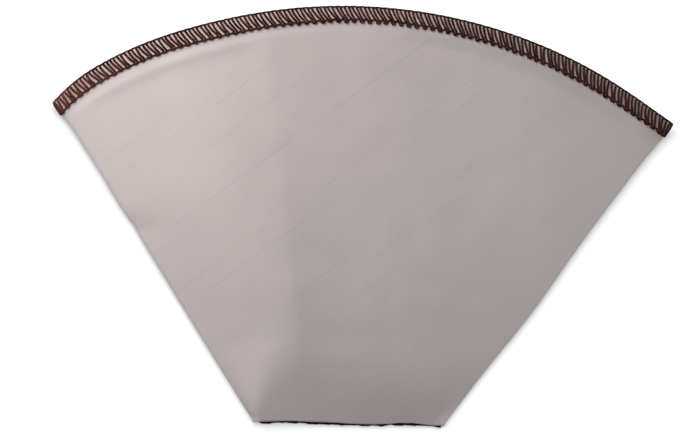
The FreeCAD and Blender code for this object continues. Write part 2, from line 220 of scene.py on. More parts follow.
class FilterStageSettings(bpy.types.PropertyGroup):
    """Camera, lamps and floor."""

    view_centre: bpy.props.FloatVectorProperty(
        name="View centre", description="Point of the object at the middle of the picture", size=2,
        default=(-0.0048, 0.06166), unit="LENGTH")
    view_width: bpy.props.FloatProperty(
        name="View width", description="Width of the picture on the table", default=0.204, unit="LENGTH")
    view_roll: bpy.props.FloatProperty(
        name="View roll", description="Turn of the camera about its axis", default=math.radians(2.2),
        unit="ROTATION")
    camera_height: bpy.props.FloatProperty(
        name="Camera height", description="Height of the camera over the table", default=2.0, unit="LENGTH")
    key_energy: bpy.props.FloatProperty(
        name="Key light", description="Power of the soft light at the upper left", default=2.3,
        unit="POWER")
    side_energy: bpy.props.FloatProperty(
        name="Side light", description="Power of the weak light at the left", default=0.09, unit="POWER")
    fill_strength: bpy.props.FloatProperty(
        name="Fill light", description="Strength of the even light from all sides", default=0.322)


def mix(first, second, share):
    """Return the value that lies a share of the way from the first to the second."""
    return first + (second - first) * share


def bell(distance, width):
    """Return a bump that is 1 at no distance and fades over its width."""
    return math.exp(-(distance / width) ** 2)


def ease(value, start, end):
    """Return 0 at the start and 1 at the end, and a smooth rise between them."""
    share = min(1, max(0, (value - start) / (end - start)))
    return share * share * (3 - 2 * share)


def bends(place, table):
    """Return the sum of a table's bumps at a place."""
    return sum(reach * bell(place - middle, width) for middle, width, reach in table)


def ripple(x, y, scale, seed):
    """Return smooth noise from -1 to 1 with waves about as wide as the scale."""
    return noise.noise(Vector((x / scale, y / scale, seed)))


class Pocket:
    """The shape of the cloth: two panels, a rolled edge at each side and a turned bottom edge.

    A place on a panel is across, from -1 at the left to 1 at the right, and up, from 0 at the bottom to 1 at
    the cut edge of the mouth. Below 0, up follows the turned bottom edge to the seam at -1.
    """

    def __init__(self, cloth):
        self.cloth = cloth
        self.centre_y = cloth.rim_height - cloth.rim_radius
        self.cut_radius = cloth.rim_radius - cloth.rim_trim
        half_bottom = cloth.bottom_width / 2
        half_mouth = cloth.mouth_width / 2
        corner_y = self.centre_y + math.sqrt(cloth.rim_radius ** 2 - half_mouth ** 2)
        self.spread = (half_mouth - half_bottom) / corner_y
        side_angle = math.atan(self.spread)
        self.side_outward = Vector((math.cos(side_angle), -math.sin(side_angle), 0))
        self.half_bottom = half_bottom - cloth.bottom_edge / 2 * EDGE_CREASE * self.side_outward.x
        half_top = half_mouth
        for _ in range(20):
            top_y = self.centre_y + math.sqrt(self.cut_radius ** 2 - half_top ** 2)
            half_top = half_bottom + self.spread * top_y
            half_top -= cloth.mouth_edge / 2 * EDGE_CREASE / self.side_outward.x
        self.corner_turn = math.asin(half_top / self.cut_radius)
        self.half_lip = self.cut_radius * self.corner_turn

    def rim_point(self, across):
        """Return a point of the cut edge, seen from above, with its ends bent down a little."""
        turn = across * self.corner_turn
        drop = max(0.0, (-across - 0.84) / 0.16) ** 2 * self.cloth.left_corner_drop
        drop += bends(across, RIM_BENDS) + 0.0003 * ease(across, 0.75, 0.97)
        return Vector((self.cut_radius * math.sin(turn) + drop * self.spread,
                       self.centre_y + self.cut_radius * math.cos(turn) - drop, 0))

    def bottom_rise(self, across):
        """Return how far the bottom edge bends up towards the mouth, most at its right end."""
        return BOTTOM_SLANT * (across + 1) + bends(across, BOTTOM_BENDS)

    def plan(self, across, up):
        """Return a point of a panel, seen from above, with its side edges a little bent."""
        bottom = Vector((across * self.half_bottom, self.cloth.bottom_curl + self.bottom_rise(across), 0))
        point = bottom + (self.rim_point(across) - bottom) * max(up, 0)
        left_bend = bends(point.y, LEFT_BENDS) - 0.0008 * ease(point.y, 0.086, 0.0925)
        point.x += left_bend * max(0.0, -across) ** 8 + bends(point.y, RIGHT_BENDS) * max(0.0, across) ** 8
        return point

    def edge_height(self, up):
        """Return the height of the rolled side edges."""
        return mix(self.cloth.bottom_edge, self.cloth.mouth_edge, max(up, 0))

    def lift(self, y):
        """Return how far the back's lip has risen off the table."""
        risen = max(0.0, y - self.cloth.flat_length) / (self.cloth.rim_height - self.cloth.flat_length)
        return self.cloth.lip_lift * risen ** 2

    def back_height(self, across, up, point):
        """Return the height of the back panel, which never dips under the table."""
        away = max(0.0, 1 - across ** 2)
        hollow = 0.00022 * (1 + ripple(point.x, point.y, 0.030, 7.3)) * away * min(1, max(up, 0) * 6)
        below_rim = (self.rim_point(across) - point).length
        return self.lift(point.y) + hollow + BAND_RISE_BACK * ease(below_rim, 0.0095, 0.0056)

    def ridge(self, up):
        """Return where across the front its ridge runs: up from the left end of the bottom edge."""
        return RIDGE_AT_MOUTH - RIDGE_LEAN * (1 - up) - RIDGE_SWAY * bell(up, 0.105)

    def slopes(self, across, up):
        """Return the front's profile: 1 on its rounded ridge, falling to 0 at both side edges."""
        ridge = self.ridge(up)
        if across > ridge:
            away_from_ridge = ((across - ridge) / (1 - ridge)) ** RIGHT_SLOPE_BEND
        else:
            bend = mix(*LEFT_SLOPE_BENDS, ease(up, 0.2, 0.6))
            away_from_ridge = max(0.0, (ridge - across) / (1 + ridge)) ** bend
        rounding = mix(*RIDGE_ROUNDING, ease(up, 0.25, 0.65)) + FOOT_ROUNDING * ease(up, 0.22, 0.06)
        fall = math.hypot(away_from_ridge, rounding) - rounding
        return 1 - fall / (math.hypot(1, rounding) - rounding)

    def waves(self, across, point, away):
        """Return the front's waves: by the bottom, over the panel, and one crease at the left edge."""
        waves = -0.0004 * bell(point.y, 0.0065) * ease(across, -0.7, 0.0) * min(1, 3 - 3 * across ** 4)
        waves += 0.00040 * ripple(point.x + point.y * 0.3, point.y * 0.35, 0.030, 1.7) * away
        waves += 0.00010 * ripple(point.x, point.y, 0.009, 4.1) * away
        return waves - 0.00020 * bell(point.x + 0.0640, 0.006) * bell(point.y - 0.0555, 0.0035)

    def band_step(self, across, below_rim, away):
        """Return how the front steps up or down to the stitched band, which differs from left to right."""
        inner = min(1, away * 4)
        left = ease(across, -0.96, -0.80) * ease(across, -0.25, -0.50)
        step = BAND_RISE_LEFT * ease(below_rim, 0.0112, 0.0076) * left
        step += BAND_RISE_RIGHT * ease(below_rim, 0.0096, 0.0052) * ease(across, 0.05, 0.30) * inner
        sunk = self.cloth.rim_sink * mix(1.0, -0.4, ease(across, -0.35, 0.55))
        return step - sunk * ease(below_rim, 0.0076, 0.0046) * inner

    def front_height(self, across, up, point):
        """Return the height of the front panel: slopes from a ridge, waves and the stitched band."""
        up_body = max(up, 0)
        edge = self.edge_height(up)
        flat = SWELL_START ** SWELL_BEND
        swell = ((up_body + SWELL_START) ** SWELL_BEND - flat) / ((1 + SWELL_START) ** SWELL_BEND - flat)
        puff = mix(self.cloth.bottom_puff, self.cloth.mouth_puff, swell)
        puff -= FOOT_FLATNESS * (puff - edge) * bell(up_body, 0.12)
        away = max(0.0, 1 - across ** 4) * min(1, up_body * 5)
        below_rim = (self.rim_point(across) - point).length
        height = self.lift(point.y) + edge + (puff - edge) * self.slopes(across, up_body)
        return height + self.waves(across, point, away) + self.band_step(across, below_rim, away)

    def curled(self, point, across, up):
        """Move a point of the lowest row on to the turned bottom edge, where up runs below 0."""
        if up >= 0:
            return point
        turn = (1 + up) * math.pi / 2
        low = self.plan(across, 0)
        middle = (self.front_height(across, 0, low) + self.back_height(across, 0, low)) / 2
        depth = self.cloth.bottom_curl * (math.cos(turn) - SEAM_TUCK * math.cos(turn) ** 6) / TUCKED_REACH
        drawn_in = 1 - 0.024 * up ** 2
        return Vector((point.x * drawn_in, point.y - depth, mix(middle, point.z, math.sin(turn))))

    def panel_point(self, side, across, up):
        """Return a point of the outer face of the front (side 1) or back (side -1) panel."""
        point = self.plan(across, up)
        height = self.front_height if side > 0 else self.back_height
        point.z = height(across, up, point)
        return self.curled(point, across, up)

    def roll_point(self, side, turn, up):
        """Return a point of the right (side 1) or left (side -1) rolled edge, turn 0 on the front."""
        front = self.panel_point(1, side, max(up, 0))
        back = self.panel_point(-1, side, max(up, 0))
        radius = (front.z - back.z) / 2
        outward = Vector((side * self.side_outward.x, self.side_outward.y, 0))
        point = (front + back) / 2 + outward * radius * EDGE_CREASE * math.sin(turn)
        point.z += radius * math.cos(turn)
        return self.curled(point, side, up)

    def girth_seat(self, place):
        """Return the side, across and turn of a place along the rim, from the left corner round the front."""
        lip = 2 * self.half_lip
        roll = math.pi * self.edge_height(1) / 2
        place %= 2 * (lip + roll)
        if place < lip:
            return 1, place / self.half_lip - 1, None
        if place < lip + roll:
            return 1, 1, math.pi * (place - lip) / roll
        if place < 2 * lip + roll:
            return -1, 1 - (place - lip - roll) / self.half_lip, None
        return -1, -1, math.pi * (1 - (place - 2 * lip - roll) / roll)

    def rim_girth(self):
        """Return the length of the rim's outer face, once round."""
        return 2 * (2 * self.half_lip + math.pi * self.edge_height(1) / 2)

    def over_rim(self, place, inset, height):
        """Return a point by the rim: along its girth, inside its cut edge and over the outer face."""
        side, across, turn = self.girth_seat(place)
        length = (self.rim_point(across) - self.plan(across, 0)).length
        up = 1 - inset / length
        if turn is None:
            step = 0.01
            here = self.panel_point(side, across, up)
            along = self.panel_point(side, across + step, up) - self.panel_point(side, across - step, up)
            upward = self.panel_point(side, across, up + step) - self.panel_point(side, across, up - step)
            return here + along.cross(upward).normalized() * side * height
        outward = Vector((across * self.side_outward.x, self.side_outward.y, 0)) * math.sin(turn)
        outward.z = math.cos(turn)
        return self.roll_point(across, turn, up) + outward * height


def finished_mesh(name, mesh):
    """Link a mesh as a smooth piece that rides on the one body."""
    piece = bpy.data.objects.new(name, mesh)
    bpy.context.scene.collection.objects.link(piece)
    mesh.polygons.foreach_set("use_smooth", [True] * len(mesh.polygons))
    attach(piece, "root")
    return piece


def with_thickness(piece, thickness):
    """Give a sheet its thickness, inwards from its outer face, and apply it."""
    solidify = piece.modifiers.new("Thickness", "SOLIDIFY")
    solidify.thickness = thickness
    solidify.offset = -1
    solidify.use_even_offset = False
    thick = bpy.data.meshes.new_from_object(piece.evaluated_get(bpy.context.evaluated_depsgraph_get()))
    piece.modifiers.clear()
    piece.data = thick
    return piece


def girth_places(cloth):
    """Return the columns of the cloth in order: front from the right, left roll, back, right roll."""
    panel, roll = cloth.panel_columns, cloth.roll_columns
    front = [("front", 1 - 2 * step / panel) for step in range(panel + 1)]
    left = [("left", math.pi * step / roll) for step in range(1, roll)]
    back = [("back", -1 + 2 * step / panel) for step in range(panel + 1)]
    right = [("right", math.pi * (1 - step / roll)) for step in range(1, roll + 1)]
    return front + left + back + right


def cloth_point(pocket, part, place, up):
    """Return a point of the cloth's outer face from its column's part and place."""
    if part == "front":
        return pocket.panel_point(1, place, up)
    if part == "back":
        return pocket.panel_point(-1, place, up)
    return pocket.roll_point(-1 if part == "left" else 1, place, up)


def blank_point(pocket, part, place, up):
    """Return where that point lay on the cut cloth: across the threads from the left fold, and along it."""
    side = {"left": -1, "right": 1}.get(part, place)
    point = pocket.plan(side, up) - Vector((-pocket.half_bottom, 0, 0))
    inward = Vector((pocket.side_outward.x, -pocket.side_outward.y, 0))
    along = Vector((pocket.side_outward.y, pocket.side_outward.x, 0))
    across_blank = point.dot(inward)
    roll = math.pi * pocket.edge_height(up) / 2
    if part == "left":
        across_blank -= roll * place / math.pi
    elif part == "back":
        across_blank = -across_blank - roll
    elif part == "right":
        across_blank = -across_blank - roll * (2 - place / math.pi)
    return Vector((across_blank, point.dot(along)))


def make_cloth(cloth, pocket):
    """Bend a grid of cloth round the pocket and close it at the right seam and the bottom."""
    columns = girth_places(cloth)
    rows = [-1 + step / cloth.curl_rows for step in range(cloth.curl_rows)]
    fine = cloth.body_rows // 4
    coarse = cloth.body_rows - fine
    rows += [FINE_ROWS_FROM * step / coarse for step in range(coarse)]
    rows += [mix(FINE_ROWS_FROM, 1, step / fine) for step in range(fine + 1)]
    grid = bmesh.new()
    bmesh.ops.create_grid(grid, x_segments=len(columns) - 1, y_segments=len(rows) - 1, size=0.5)
    blank = grid.loops.layers.uv.new("Blank")
    seats = {}
    for vert in grid.verts:
        column = round((vert.co.x + 0.5) * (len(columns) - 1))
        row = round((vert.co.y + 0.5) * (len(rows) - 1))
        seats[vert] = (*columns[column], rows[row])
    for face in grid.faces:
        for loop in face.loops:
            loop[blank].uv = blank_point(pocket, *seats[loop.vert])
    for vert, seat in seats.items():
        vert.co = cloth_point(pocket, *seat)
    bmesh.ops.remove_doubles(grid, verts=grid.verts, dist=MERGE_DISTANCE)
    bmesh.ops.recalc_face_normals(grid, faces=grid.faces)
    mesh = bpy.data.meshes.new("filter_cloth_sheet")
    grid.to_mesh(mesh)
    grid.free()
    outermost = max(mesh.polygons, key=lambda face: face.center.z)
    if outermost.normal.z < 0:
        mesh.flip_normals()
    sheet = with_thickness(finished_mesh("filter_cloth_sheet", mesh), cloth.thickness)
    sheet.data.set_sharp_from_angle(angle=SHARP_ANGLE)
    return sheet


def thread_piece(name, points, thread, radii=None, closed=True):
    """Lay a round thread along its points, with a UV map in metres along and round it."""
    curve = bpy.data.curves.new(name, "CURVE")
    curve.dimensions = "3D"
    curve.bevel_depth = thread.radius
    curve.bevel_resolution = 1
    curve.resolution_u = 3
    curve.use_fill_caps = True
    spline = curve.splines.new("NURBS")
    spline.points.add(len(points) - 1)
    for index, (control, point) in enumerate(zip(spline.points, points)):
        control.co = (*point, 1)
        control.radius = radii[index] if radii else 1
    spline.use_cyclic_u = closed
    spline.order_u = 3
    spline.use_endpoint_u = not closed
    holder = bpy.data.objects.new(name + "_path", curve)
    bpy.context.scene.collection.objects.link(holder)
    mesh = bpy.data.meshes.new_from_object(holder)
    mesh.name = name
    bpy.data.objects.remove(holder)
    length = spline.calc_length()
    for layer in mesh.uv_layers:
        for loop in layer.data:
            loop.uv = (loop.uv[0] * length, loop.uv[1])
    bpy.data.curves.remove(curve)
    return finished_mesh(name, mesh)


def rim_stitches(pocket, thread):
    """Return each overlock stitch's place on the rim, its lean, depth and seeded strays, and the pitch."""
    girth = pocket.rim_girth()
    count = round(girth / thread.pitch)
    lip = 2 * pocket.half_lip
    stray = random.Random(STITCH_SEED)
    stitches = []
    for index in range(count):
        place = (index + 0.5) * girth / count
        place += thread.crowding * (place / girth - 1 + math.exp(-place / 0.005))
        share = min(1, max(0, place / lip if place < lip else (girth - place) / lip))
        lean = mix(thread.lean_left, thread.lean_middle, min(1, share / 0.45) ** 0.8)
        lean = mix(lean, thread.lean_right, ease(share, 0.5, 0.95))
        near_corner = min(abs(place - lip) / 0.003, place / 0.010, (girth - place) / 0.004)
        lean *= min(1, near_corner)
        strays = [stray.uniform(-1, 1) * thread.unevenness for _ in range(6)]
        depth = thread.depth * (0.93 + 0.07 * min(1, share * 3) + 0.04 * max(0, share - 0.5))
        depth *= 1 - 0.08 * bell(share * lip, 0.006) - 0.06 * bell((1 - share) * lip, 0.004)
        depth += 0.0003 * bell(place, 0.0015)
        stitches.append((place, lean, depth + strays[1] * 0.6, strays, girth / count))
    return stitches


def eyelet_share(pocket, place):
    """Return how open the stitches' ends stand: 1 in the middle of the front lip, 0 towards its corners."""
    return bell(place / (2 * pocket.half_lip) - 0.53, 0.16)


def laid_on_rim(pocket, seats):
    """Return points and radii from seats: along the rim, inside its edge, over its face, and a radius."""
    return [pocket.over_rim(*seat[:3]) for seat in seats], [seat[3] for seat in seats]


def looper_path(pocket, thread, face_height, edge_height, shift):
    """Return a looper's path: two legs a stitch from the cut edge to the needle line and back."""
    seats = []
    edge_bulge = 0.5 if shift else 0.2
    for place, lean, depth, stray, pitch in rim_stitches(pocket, thread):
        centre = place + shift * pitch
        apex = centre + lean + stray[0]
        half_apex = thread.apex_width / 2
        eyelet = eyelet_share(pocket, place)
        end = depth + mix(-0.00010, -0.00004, eyelet)
        blob = mix(1.35, 0.66, eyelet)
        half_end = half_apex * mix(1.1, 1.3, eyelet)
        leg = mix(1.30, 1.08, ease(place / (2 * pocket.half_lip), 0.05, 0.5))
        legs = []
        for side, foot_stray, leg_stray in ((-1, stray[2], stray[3]), (1, stray[5], stray[4])):
            foot = centre + side * pitch / 4
            legs.append([
                (foot + foot_stray * 0.4, -thread.radius * 0.8, edge_height, 1.05),
                (foot + lean * 0.08 + foot_stray, 0.0005, face_height, leg),
                (mix(foot, apex + side * half_apex, 0.55) + leg_stray, depth * 0.55, face_height, leg),
                (apex + side * half_apex * 0.9, depth - 0.0009, face_height, leg),
                (apex + side * half_end, end, face_height, blob),
            ])
        seats += legs[0] + legs[1][::-1]
        seats.append((centre + pitch / 2, -thread.radius * edge_bulge, edge_height, 1.0))
    return laid_on_rim(pocket, seats)


def needle_path(pocket, thread):
    """Return the needle thread's path: it caps each stitch's end and dips to the cloth between."""
    seats = []
    for place, lean, depth, stray, pitch in rim_stitches(pocket, thread):
        apex = place + lean + stray[0]
        share = place / (2 * pocket.half_lip)
        dip = mix(0.0003, 0.0010, ease(share, 0.60, 0.76)) if share < 1 else 0.0006
        depth -= 0.00085 * eyelet_share(pocket, place)
        for step, inset, height, radius in (
            (-0.24, 0.0002, 0.6, 1.0),
            (-0.12, 0.00005, 0.9, 1.1),
            (0.10, 0.00005, 0.9, 1.1),
            (0.24, 0.0002, 0.6, 1.0),
            (0.5, dip, 0.2, 0.95),
        ):
            seats.append((apex + pitch * step, depth - inset, thread.radius * height, radius))
    return laid_on_rim(pocket, seats)


def wavy_run(start, end, pitch, wave):
    """Return points from start to end that swing to either side by the wave."""
    steps = max(2, round((end - start).length / (pitch / 2)))
    return [start.lerp(end, step / steps) + wave * (-1) ** step for step in range(steps + 1)]


def allowance_point(pocket, seam, along, across):
    """Return a point of a seam's raw allowance inside: along the seam, and from the seam to its raw edge."""
    cloth = pocket.cloth
    if seam == "bottom":
        side = mix(*BOTTOM_ALLOWANCE_RUN, along)
        up = across * cloth.allowance / (cloth.rim_height - cloth.bottom_curl)
        point = pocket.plan(side, up)
        point.z = (pocket.front_height(side, up, point) + pocket.back_height(side, up, point)) / 2
        return point
    up = mix(*SIDE_ALLOWANCE_RUN, along)
    front, back = pocket.panel_point(1, 1, up), pocket.panel_point(-1, 1, up)
    reach = cloth.thickness + 0.0003 + across * cloth.allowance
    point = (front + back) / 2 - pocket.side_outward * reach
    point.z = mix(point.z, back.z + cloth.thickness * 3, 0.5 * across ** 2)
    return point


def make_allowance(name, pocket, seam, rows):
    """Add a seam's two raw layers inside the pocket as one strip."""
    strip = bmesh.new()
    bmesh.ops.create_grid(strip, x_segments=6, y_segments=rows, size=0.5)
    blank = strip.loops.layers.uv.new("Blank")
    for face in strip.faces:
        for loop in face.loops:
            loop[blank].uv = (loop.vert.co.x * pocket.cloth.allowance, loop.vert.co.y * 0.1)
    for vert in strip.verts:
        vert.co = allowance_point(pocket, seam, vert.co.y + 0.5, vert.co.x + 0.5)
    bmesh.ops.recalc_face_normals(strip, faces=strip.faces)
    mesh = bpy.data.meshes.new(name)
    strip.to_mesh(mesh)
    strip.free()
    return with_thickness(finished_mesh(name, mesh), ALLOWANCE_THICKNESS)


def whipped_edge(pocket, thread, seam, length):
    """Return the path of a thread wound over an allowance's raw edge."""
    points = []
    count = round(length / thread.pitch)
    for index in range(count):
        for share, across, height in ((0.0, 0.62, 1), (0.25, 1.04, 0.3), (0.5, 0.62, -1), (0.75, 1.04, -0.3)):
            point = allowance_point(pocket, seam, min(1, (index + share) / count), across)
            point.z += height * (ALLOWANCE_THICKNESS / 2 + thread.radius * 0.4)
            points.append(point)
    return points


def new_node(tree, kind, *values, **settings):
    """Add a node, set its settings, then link or set its inputs in order; None leaves an input alone."""
    made = tree.nodes.new(kind)
    for key, value in settings.items():
        setattr(made, key, value)
    for socket, value in zip(made.inputs, values):
        if isinstance(value, bpy.types.NodeSocket):
            tree.links.new(value, socket)
        elif value is not None:
            socket.default_value = value
    return made


def calc(tree, operation, *values):
    """Add a Math node and return its output."""
    return new_node(tree, "ShaderNodeMath", *values, operation=operation).outputs[0]


def clamped(tree, value):
    """Return the value kept from 0 to 1."""
    return calc(tree, "MINIMUM", calc(tree, "MAXIMUM", value, 0.0), 1.0)


def axes(tree, vector):
    """Return the X, Y and Z of a vector."""
    return new_node(tree, "ShaderNodeSeparateXYZ", vector).outputs


def object_place(tree):
    """Return a point's place on the object, in metres."""
    return new_node(tree, "ShaderNodeTexCoord").outputs["Object"]


def darkened(tree, colour, mask, depth):
    """Return the colour made darker by the depth where the mask is 1."""
    made = new_node(tree, "ShaderNodeVectorMath", colour, operation="SCALE")
    tree.links.new(calc(tree, "MULTIPLY_ADD", mask, -depth, 1.0), made.inputs["Scale"])
    return made.outputs[0]


def vary(tree, vector, stretch, detail=2.0):
    """Return noise from 0 to 1 on a vector stretched along its axes, in waves per metre."""
    mapped = new_node(tree, "ShaderNodeMapping", vector)
    mapped.inputs["Scale"].default_value = stretch
    made = new_node(tree, "ShaderNodeTexNoise", mapped.outputs[0], None, 1.0, detail)
    return made.outputs[0]


def blend_colours(tree, share, first, second):
    """Return the colour that lies a share of the way from the first to the second."""
    made = new_node(tree, "ShaderNodeMix", data_type="RGBA")
    for name, value in ((0, share), (6, first), (7, second)):
        if isinstance(value, bpy.types.NodeSocket):
            tree.links.new(value, made.inputs[name])
        else:
            made.inputs[name].default_value = value
    return made.outputs[2]


def new_group(name, inputs, outputs):
    """Add a shader node group with its sockets and return it with its input and output nodes."""
    group = bpy.data.node_groups.new(name, "ShaderNodeTree")
    for label, kind in inputs:
        group.interface.new_socket(name=label, in_out="INPUT", socket_type="NodeSocket" + kind)
    for label, kind in outputs:
        group.interface.new_socket(name=label, in_out="OUTPUT", socket_type="NodeSocket" + kind)
    return group, group.nodes.new("NodeGroupInput").outputs, group.nodes.new("NodeGroupOutput").inputs


def drawn_yarn_share(tree, square_on):
    """Return how much a point lies on one of the weft yarns that were drawn tight, from 0 to 1."""
    parts = axes(tree, square_on)
    stray = calc(tree, "MULTIPLY_ADD", vary(tree, square_on, (35, 35, 1), detail=1.0), 0.0008, -0.0004)
    along = calc(tree, "ADD", parts[1], stray)
    shares = 0.0
    for place, strength in DRAWN_YARNS:
        away = calc(tree, "ABSOLUTE", calc(tree, "SUBTRACT", along, place))
        near = calc(tree, "MAXIMUM", calc(tree, "MULTIPLY_ADD", away, -1 / DRAWN_YARN_WIDTH, 1.0), 0.0)
        shares = calc(tree, "MULTIPLY_ADD", near, strength, shares)
    broken = calc(tree, "MULTIPLY_ADD", vary(tree, square_on, (60, 300, 1), detail=1.0), 5.0, -1.9)
    return calc(tree, "MULTIPLY", shares, calc(tree, "MINIMUM", calc(tree, "MAXIMUM", broken, 0.2), 1.0))


def plain_weave_group():
    """Build the fine plain weave: yarns over and under, slubs along the weft and a soft change of tone, with
    painted light on the yarn crowns and painted shade in the gaps between them.
    """
    group, given, result = new_group(
        "Plain weave",
        (("Blank", "Vector"), ("Yarn pitch", "Float"), ("Slubs", "Float"), ("Drawn yarns", "Float"),
         ("Cloudiness", "Float"), ("Colour", "Color"), ("Pale colour", "Color")),
        (("Colour", "Color"), ("Roughness", "Float"), ("Height", "Float")))
    uv, pitch, slubs, drawn_yarns, cloudiness, colour, pale = (given[index] for index in range(7))
    blank = new_node(group, "ShaderNodeMapping", uv, None, (0.0, 0.0, YARN_BIAS)).outputs[0]
    parts = axes(group, blank)
    stray = calc(group, "MULTIPLY", calc(group, "SUBTRACT", vary(group, blank, (120, 120, 1)), 0.5), 0.0004)
    yarns = []
    for index in (0, 1):
        turns = calc(group, "DIVIDE", calc(group, "ADD", parts[index], stray), pitch)
        yarns.append(calc(group, "SINE", calc(group, "MULTIPLY", turns, math.pi)))
    warp, weft = (calc(group, "ABSOLUTE", yarn) for yarn in yarns)
    over = calc(group, "GREATER_THAN", calc(group, "MULTIPLY", *yarns), 0.0)
    crown = calc(group, "MULTIPLY_ADD", calc(group, "SUBTRACT", warp, weft), over, weft)
    low = calc(group, "MINIMUM", warp, weft)
    height = calc(group, "ADD", calc(group, "MULTIPLY", crown, 0.6), calc(group, "MULTIPLY", low, 0.4))
    long_slubs = vary(group, blank, (30, 900, 1), detail=3.0)
    slub = calc(group, "MULTIPLY", calc(group, "SUBTRACT", long_slubs, 0.5), slubs)
    drawn = calc(group, "ABSOLUTE", calc(group, "SUBTRACT", vary(group, blank, (9, 420, 1), detail=0.0), 0.5))
    drawn = calc(group, "MAXIMUM", calc(group, "MULTIPLY_ADD", drawn, -17.0, 1.0), 0.0)
    patches = vary(group, blank, (18, 70, 1), detail=1.0)
    where = clamped(group, calc(group, "MULTIPLY_ADD", patches, 9.0, -4.05))
    faint = calc(group, "MULTIPLY", calc(group, "MULTIPLY", drawn, where), 0.2)
    drawn = calc(group, "MULTIPLY", calc(group, "ADD", drawn_yarn_share(group, blank), faint), drawn_yarns)
    cloud = calc(group, "MULTIPLY", calc(group, "SUBTRACT", vary(group, blank, (55, 55, 1)), 0.5), cloudiness)
    # Painted light and shade: the colour is paler on the yarn crowns and darker in the gaps between them
    painted_gap_shade = calc(group, "MULTIPLY", calc(group, "SUBTRACT", height, 0.55), 0.9)
    tone = clamped(group, calc(group, "ADD", calc(group, "ADD", slub, cloud), calc(group, "ADD", painted_gap_shade, 0.5)))
    group.links.new(darkened(group, blend_colours(group, tone, colour, pale), drawn, 1.0), result[0])
    group.links.new(calc(group, "MULTIPLY_ADD", tone, -0.16, 0.80), result[1])
    sunk = calc(group, "MULTIPLY", calc(group, "SUBTRACT", slub, drawn), 2.0)
    group.links.new(calc(group, "ADD", height, sunk), result[2])
    return group


def rim_mask(tree, start, width):
    """Return 0 inside the rim's arc, seen from above, and 1 beyond a start radius, over a width."""
    flat = new_node(tree, "ShaderNodeVectorMath", object_place(tree), (1.0, 1.0, 0.0), operation="MULTIPLY")
    away = new_node(tree, "ShaderNodeVectorMath", flat.outputs[0], RIM_CENTRE, operation="DISTANCE")
    radius = away.outputs["Value"]
    return clamped(tree, calc(tree, "DIVIDE", calc(tree, "SUBTRACT", radius, start), width))


def seam_painted_shade(tree):
    """Return how much painted shade darkens the cloth by the bottom seam: most at its right, gone 38 mm above
    it.
    """
    parts = axes(tree, object_place(tree))
    slanted = calc(tree, "MULTIPLY_ADD", parts[0], -0.2, parts[1])
    near = clamped(tree, calc(tree, "MULTIPLY_ADD", slanted, -1 / 0.018, 1.0))
    wide = clamped(tree, calc(tree, "MULTIPLY_ADD", slanted, -1 / 0.014, 0.038 / 0.014))
    rightward = clamped(tree, calc(tree, "MULTIPLY_ADD", parts[0], 30.0, 0.75))
    wide = calc(tree, "MULTIPLY", wide, 0.16)
    painted_shade = calc(tree, "MULTIPLY_ADD", calc(tree, "POWER", near, 1.5), 0.72, wide)
    return calc(tree, "MULTIPLY", painted_shade, rightward)


def twisted_thread_group():
    """Build the twist of a sewing thread: plies round it with painted light on their crowns and painted shade
    in the hollows between them, worn warm fibres, painted light towards the rim's left end, and painted shade
    where the thread turns over the cut edge.
    """
    group, given, result = new_group(
        "Twisted thread",
        (("Along and round", "Vector"), ("Place", "Vector"), ("Twist pitch", "Float"), ("Wear", "Float"),
         ("Colour", "Color"), ("Warm colour", "Color")),
        (("Colour", "Color"), ("Roughness", "Float"), ("Height", "Float")))
    path, place, pitch, wear, colour, warm = (given[index] for index in range(6))
    parts = axes(group, path)
    turns = calc(group, "ADD", calc(group, "DIVIDE", parts[0], pitch), calc(group, "MULTIPLY", parts[1], 2.0))
    swing = calc(group, "SINE", calc(group, "MULTIPLY", turns, 2 * math.pi))
    ply = calc(group, "MULTIPLY_ADD", swing, 0.5, 0.5)
    fibres = vary(group, path, (9000, 14, 1), detail=3.0)
    patches = vary(group, place, (260, 260, 260))
    wear_and_painted_light = calc(group, "MULTIPLY", calc(group, "SUBTRACT", patches, 0.38), 1.6)
    # Painted light: the thread is redder and lighter towards the rim's left end, where the lamp lights it
    # most
    left_end_painted_light = clamped(group, calc(group, "MULTIPLY_ADD", axes(group, place)[0], -28.0, -1.75))
    wear_and_painted_light = calc(group, "ADD", wear_and_painted_light, left_end_painted_light)
    # Painted light and shade: the ply crowns are redder and lighter, the hollows between them darker
    share = calc(group, "ADD", calc(group, "MULTIPLY", ply, 0.35), calc(group, "MULTIPLY", fibres, 0.4))
    share = clamped(group, calc(group, "MULTIPLY", calc(group, "ADD", share, wear_and_painted_light), wear))
    wear_and_painted_light_colour = blend_colours(group, share, colour, warm)
    # Painted shade: the thread is darkened where it turns over the cut edge
    edge = rim_mask(group, 0.1551, 0.0005)
    group.links.new(darkened(group, wear_and_painted_light_colour, edge, 0.7), result[0])
    group.links.new(calc(group, "MULTIPLY_ADD", fibres, 0.2, 0.5), result[1])
    group.links.new(calc(group, "ADD", ply, calc(group, "MULTIPLY", fibres, 0.5)), result[2])
    return group


def set_inputs(inputs, values):
    """Set a node's inputs to constant values by their names."""
    for name, value in values.items():
        inputs[name].default_value = value


